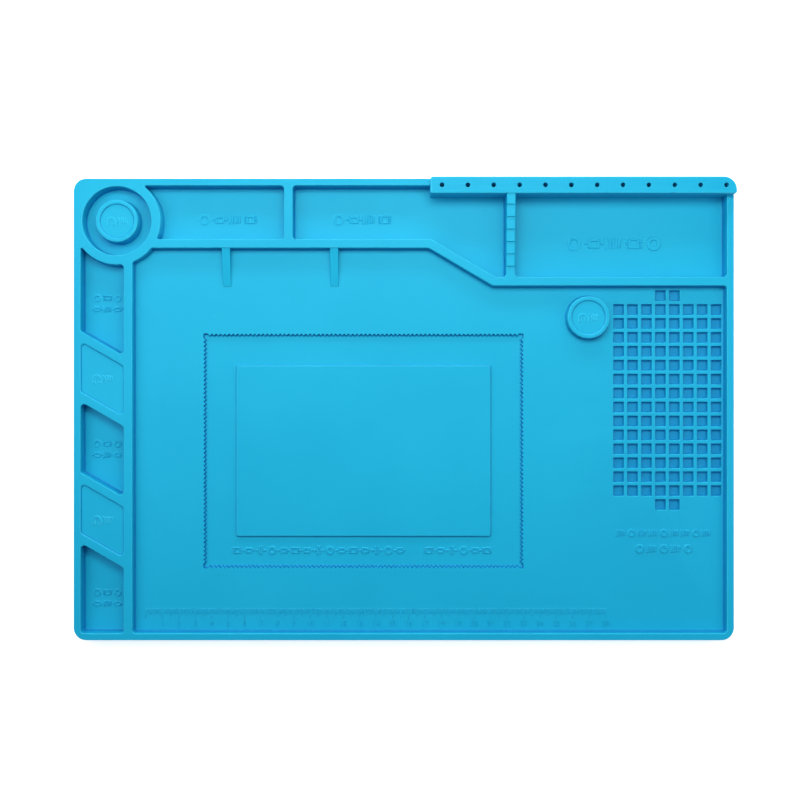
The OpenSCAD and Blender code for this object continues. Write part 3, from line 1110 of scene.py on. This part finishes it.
def grain_group():
    """Skin of a moulded surface: slow waves of tone, a fine texture and their bumps."""
    tree, given, out = new_group(
        "moulded_grain",
        [
            ("Vector", "NodeSocketVector", None),
            ("Texture Scale", "NodeSocketFloat", 2200.0),
            ("Texture Depth", "NodeSocketFloat", 0.2),
            ("Wave Depth", "NodeSocketFloat", 0.05),
        ],
        [("Tone", "NodeSocketFloat"), ("Fine", "NodeSocketFloat"), ("Normal", "NodeSocketVector")],
    )
    slow = noise(tree, given["Vector"], 14.0, 3.0)
    fine = noise(tree, given["Vector"], given["Texture Scale"], 2.0, 0.6)
    waves = bump(tree, noise(tree, given["Vector"], 60.0, 1.0), 0.002, given["Wave Depth"])
    normal = bump(tree, fine, 0.0001, given["Texture Depth"], waves)
    tree.links.new(slow, out["Tone"])
    tree.links.new(fine, out["Fine"])
    tree.links.new(normal, out["Normal"])
    return tree


def lint_group():
    """Sparse specks of lint and dust that cling to soft surfaces."""
    tree, given, out = new_group(
        "lint",
        [
            ("Vector", "NodeSocketVector", None),
            ("Scale", "NodeSocketFloat", 90.0),
            ("Size", "NodeSocketFloat", 0.015),
        ],
        [("Mask", "NodeSocketFloat")],
    )
    cells = tree.nodes.new("ShaderNodeTexVoronoi")
    tree.links.new(given["Vector"], cells.inputs["Vector"])
    tree.links.new(given["Scale"], cells.inputs["Scale"])
    near = math_node(tree, "LESS_THAN", cells.outputs["Distance"], given["Size"])
    patch = ramp(tree, noise(tree, given["Vector"], 25.0, 1.0), 0.5, 0.6)
    tree.links.new(math_node(tree, "MULTIPLY", near, patch), out["Mask"])
    return tree


def plating_group():
    """Fine texture of bright plating, with faint handling marks."""
    tree, given, out = new_group(
        "plating",
        [("Vector", "NodeSocketVector", None), ("Scale", "NodeSocketFloat", 900.0)],
        [("Mark", "NodeSocketFloat"), ("Normal", "NodeSocketVector")],
    )
    marks = noise(tree, given["Vector"], given["Scale"], 4.0, 0.7)
    tree.links.new(marks, out["Mark"])
    tree.links.new(bump(tree, marks, 0.00002, 0.3), out["Normal"])
    return tree


def wear_group():
    """Masks of painted highlight on the rounded outer edges and of painted shade in the fillets, from
    how the skin turns there.
    """
    tree, given, out = new_group(
        "edge_light_and_shade",
        [
            ("Turn", "NodeSocketFloat", 0.0),
            ("Lift", "NodeSocketFloat", 0.55),
            ("Shade", "NodeSocketFloat", 0.7),
        ],
        [("Edge", "NodeSocketFloat"), ("Fillet", "NodeSocketFloat")],
    )
    edge = math_node(tree, "MULTIPLY", given["Turn"], given["Lift"])
    inward = math_node(tree, "MULTIPLY", given["Turn"], -1.0)
    fillet = math_node(tree, "MULTIPLY", inward, given["Shade"])
    tree.links.new(ramp(tree, edge, 0.0, 1.0), out["Edge"])
    tree.links.new(ramp(tree, fillet, 0.0, 1.0), out["Fillet"])
    return tree


# ---------------------------------------------------------------- materials


def new_material(name):
    material = bpy.data.materials.new(name)
    material.use_nodes = True
    tree = material.node_tree
    shader = tree.nodes["Principled BSDF"]
    where = tree.nodes.new("ShaderNodeTexCoord").outputs["Object"]
    return material, tree, shader, where


def use_group(tree, group, source, **values):
    """A group's outputs, with its first input fed by source."""
    node = tree.nodes.new("ShaderNodeGroup")
    node.node_tree = group
    tree.links.new(source, node.inputs[0])
    for name, value in values.items():
        node.inputs[name.replace("_", " ")].default_value = value
    return node.outputs


def blend_colour(tree, mask, a, b):
    """Colour a where the mask is 0 and b where it is 1."""
    node = tree.nodes.new("ShaderNodeMix")
    node.data_type = "RGBA"
    tree.links.new(mask, node.inputs["Factor"])
    for slot, colour in (("A", a), ("B", b)):
        socket = next(s for s in node.inputs if s.name == slot and s.type == "RGBA")
        if isinstance(colour, tuple):
            socket.default_value = (*colour, 1)
        else:
            tree.links.new(colour, socket)
    return next(s for s in node.outputs if s.type == "RGBA")


# Painted highlight colour for the rounded edges.
EDGE_HIGHLIGHT_BLUE = (0.06, 0.62, 0.86)
# Painted shade colour for fillets, pit floors and the bay's notches.
SHADED_BLUE = (0.003, 0.14, 0.45)
LINT_BLUE = (0.12, 0.5, 0.7)
SILICONE_IOR = 1.41
SATIN_LEVEL = 0.2
ROUGHNESS_SPREAD = 0.05


def silicone(name, deep, light, roughness, texture):
    """Satin coloured silicone with a spark-eroded texture and a little lint, and with painted highlight
    on its rounded edges and painted shade in its fillets.
    """
    material, tree, shader, where = new_material(name)
    grain = use_group(tree, GRAIN, where, Texture_Depth=texture)
    lint = use_group(tree, LINT, where)
    turn = tree.nodes.new("ShaderNodeAttribute")
    turn.attribute_name = "edge"
    edge_paint = use_group(tree, EDGE_LIGHT_AND_SHADE, turn.outputs["Fac"])
    tone = blend_colour(tree, ramp(tree, grain["Tone"], 0.3, 0.7), deep, light)
    # Painted highlight on the rounded edges.
    highlighted = blend_colour(tree, edge_paint["Edge"], tone, EDGE_HIGHLIGHT_BLUE)
    # Painted shade in the fillets, pit floors and the bay's notches.
    shaded = blend_colour(tree, edge_paint["Fillet"], highlighted, SHADED_BLUE)
    colour = blend_colour(tree, lint["Mask"], shaded, LINT_BLUE)
    tree.links.new(colour, shader.inputs["Base Color"])
    rough = ramp(
        tree, grain["Fine"], 0.0, 1.0, roughness - ROUGHNESS_SPREAD, roughness + ROUGHNESS_SPREAD
    )
    tree.links.new(rough, shader.inputs["Roughness"])
    tree.links.new(grain["Normal"], shader.inputs["Normal"])
    shader.inputs["IOR"].default_value = SILICONE_IOR
    shader.inputs["Specular IOR Level"].default_value = SATIN_LEVEL
    return material


def nickel():
    """Bright nickel plating of the disc magnets."""
    material, tree, shader, where = new_material("nickel_plating")
    plating = use_group(tree, PLATING, where)
    colour = blend_colour(tree, plating["Mark"], (0.62, 0.6, 0.56), (0.78, 0.77, 0.74))
    tree.links.new(colour, shader.inputs["Base Color"])
    shader.inputs["Metallic"].default_value = 1.0
    tree.links.new(ramp(tree, plating["Mark"], -0.6, 3.0), shader.inputs["Roughness"])
    tree.links.new(plating["Normal"], shader.inputs["Normal"])
    return material


GRAIN = grain_group()
LINT = lint_group()
EDGE_LIGHT_AND_SHADE = wear_group()
PLATING = plating_group()
SILICONE = silicone("blue_silicone", (0.005, 0.37, 0.60), (0.007, 0.395, 0.625), 0.5, 0.25)
PLUG_SILICONE = silicone("plug_silicone", (0.003, 0.27, 0.48), (0.004, 0.30, 0.52), 0.6, 0.4)
NICKEL = nickel()

# ---------------------------------------------------------------- pieces


MOULDING_NODES = (
    "base_sheet", "work_floor", "board_bay", "bay_platform", "pit_long_ribs", "pit_cross_ribs",
    "left_rim", "near_rim", "right_rim", "far_rim", "corner_well", "corner_well_boss",
    "work_area_boss", "column_wall", "upper_pad", "lower_pad", "pocket_wall", "slanted_wall",
    "right_pocket_wall", "pocket_partition",
)


def moulded(name, mesh, *replaced):
    """Piece of the mat's own blue silicone."""
    piece(name, mesh, SILICONE, replaced)


def build_mat():
    pitch = PIT_PITCH * MM
    columns, rows = PIT_GRID
    cup = pit_cup()
    pits = grown(
        CUP_FIELD, cup, Columns=columns, Rows=rows, Pitch=pitch,
        Centre=(PIT_CENTRE[0] * MM, PIT_CENTRE[1] * MM, 0.0), End_Width=pitch, Cup=cup,
        Material=SILICONE,
    )
    moulded("mat_moulding", mat_skin(pits), *MOULDING_NODES)


def build_bar():
    first, last = HOLES[0]["pos_m"], HOLES[-1]["pos_m"]
    cup = hole_cup()
    cups = grown(
        CUP_FIELD, cup, Columns=len(HOLES), Rows=1,
        Pitch=(last[0] - first[0]) / (len(HOLES) - 1), End_Width=1.0,
        Centre=((first[0] + last[0]) / 2, first[1], 0.0), Cup=cup, Material=SILICONE,
    )
    moulded("raised_tool_bar", bar_skin(cups), "tool_bar", "tool_bar_base")


def build_rule():
    mark = rule_mark()
    marks = grown(
        rule_tree(), mark, Marks=RULE_RUN + 1, Start=(FIRST_MARK * MM, RULE_HIGH[1] * MM, 0.0),
        Short=MARK_LENGTH * MM, Step=MARK_STEP * MM, Mark=mark, Material=SILICONE,
    )
    moulded("raised_rule", Skin().mesh("rule", [marks]), "rule_marks")
    moulded("rule_numerals", numerals())


def disc_skin(node, edge):
    """Turned disc with softened edges, in the place of a node."""
    low, high = span(node)
    x, y = middle(node)
    skin = Skin()
    outline = circle(x, y, (high[0] - low[0]) / 2, DISC_POINTS)
    skin.solid(outline, slab_profile(low[2], high[2], edge))
    return skin.mesh(node + "_skin")


def build_discs():
    for name in MAGNET_SPOTS:
        magnet, plug = name + "_magnet", name + "_plug"
        piece("plated_" + magnet, disc_skin(magnet, 0.3), NICKEL, (magnet,))
        piece("fitted_" + plug, disc_skin(plug, 0.25), PLUG_SILICONE, (plug,))


CUP_FIELD = cup_field_tree()
build_mat()
build_bar()
moulded("steps_to_bar", steps_skin(), "stepped_wall")
for rib in ("left_rib", "right_rib"):
    moulded(rib + "_moulded", rib_skin(rib), rib)
build_rule()
moulded("raised_signs", signs_mesh())
build_discs()

# ---------------------------------------------------------------- floor, light and camera

# Height of the camera over the rim, the width that it sees there and the point below it, in metres
VIEW_HEIGHT = 0.62
VIEW_WIDTH = 0.4834
VIEW_POINT = (-0.0023, 0.0057)

# Half the studio floor's width in mm, and how far it lies under the mat in metres
FLOOR_HALF = 2500
FLOOR_DROP = 0.0002

COOL_WHITE = (0.97, 0.95, 1.05)
WARM_WHITE = (0.94, 1.0, 0.86)
PLAIN_WHITE = (1.0, 1.0, 1.0)

# Each area light: name, place, point it faces, size, power and colour
LAMPS = (
    ("far_softbox", (0.0, 0.28, 0.5), (0.0, 0.1, 0.0), (0.5, 0.2), 2.3, WARM_WHITE),
    ("far_strip", (0.0, 0.8, 0.28), (0.0, -0.1, 0.0), (1.0, 0.15), 3.5, PLAIN_WHITE),
    ("left_softbox", (-0.44, 0.13, 0.4), (-0.12, 0.05, 0.0), (0.2, 0.4), 0.75, COOL_WHITE),
    ("right_softbox", (0.44, 0.0, 0.4), (0.1, 0.0, 0.0), (0.2, 0.4), 0.6, COOL_WHITE),
)


def build_stage():
    skin = Skin()
    corners = rectangle(-FLOOR_HALF, -FLOOR_HALF, FLOOR_HALF, FLOOR_HALF)
    skin.fill(skin.ring(rounded(corners), 0.0))
    floor = place("studio_floor", skin.mesh("studio_floor"))
    floor.location.z = -FLOOR_DROP
    material, _, shader, _ = new_material("white_paper")
    shader.inputs["Base Color"].default_value = (0.95, 0.95, 0.95, 1)
    shader.inputs["Emission Color"].default_value = (1, 1, 1, 1)
    shader.inputs["Emission Strength"].default_value = 0.6
    shader.inputs["Roughness"].default_value = 0.9
    shader.inputs["Specular IOR Level"].default_value = 0.1
    floor.data.materials.append(material)
    floor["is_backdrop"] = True


def area_light(name, spot, target, size, power, colour):
    light = bpy.data.lights.new(name, "AREA")
    light.color = colour
    light.shape = "RECTANGLE"
    light.size, light.size_y = size
    light.energy = power
    lamp = bpy.data.objects.new(name, light)
    lamp.location = spot
    aim = Vector(target) - Vector(spot)
    lamp.rotation_euler = aim.to_track_quat("-Z", "Y").to_euler()
    bpy.context.scene.collection.objects.link(lamp)


def build_light():
    """Wide overhead light, softboxes on three sides and a faint bluish surround."""
    sun = bpy.data.lights.new("overhead_key", "SUN")
    sun.angle = math.radians(60)
    sun.energy = 0.46
    sun.color = COOL_WHITE
    key = bpy.data.objects.new("overhead_key", sun)
    key.rotation_euler = Vector((0.38, -0.12, -1.0)).to_track_quat("-Z", "Y").to_euler()
    bpy.context.scene.collection.objects.link(key)
    for lamp in LAMPS:
        area_light(*lamp)
    world = bpy.data.worlds.new("studio")
    world.use_nodes = True
    sky = world.node_tree.nodes["Background"]
    sky.inputs["Color"].default_value = (0.82, 0.9, 1.1, 1)
    sky.inputs["Strength"].default_value = 0.2
    bpy.context.scene.world = world
    bpy.context.scene.view_settings.view_transform = "Standard"


def build_camera():
    """Camera that looks straight down at the mat."""
    data = bpy.data.cameras.new("camera")
    data.sensor_width = 36
    data.lens = data.sensor_width * VIEW_HEIGHT / VIEW_WIDTH
    data.clip_start = 0.01
    camera = bpy.data.objects.new("camera", data)
    camera.location = (*VIEW_POINT, RIM_Z * MM + VIEW_HEIGHT)
    bpy.context.scene.collection.objects.link(camera)
    bpy.context.scene.camera = camera


build_stage()
build_light()
build_camera()

visual_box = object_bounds()
[[list(map(float, corner)) for corner in box] for box in (cad_box, visual_box)]
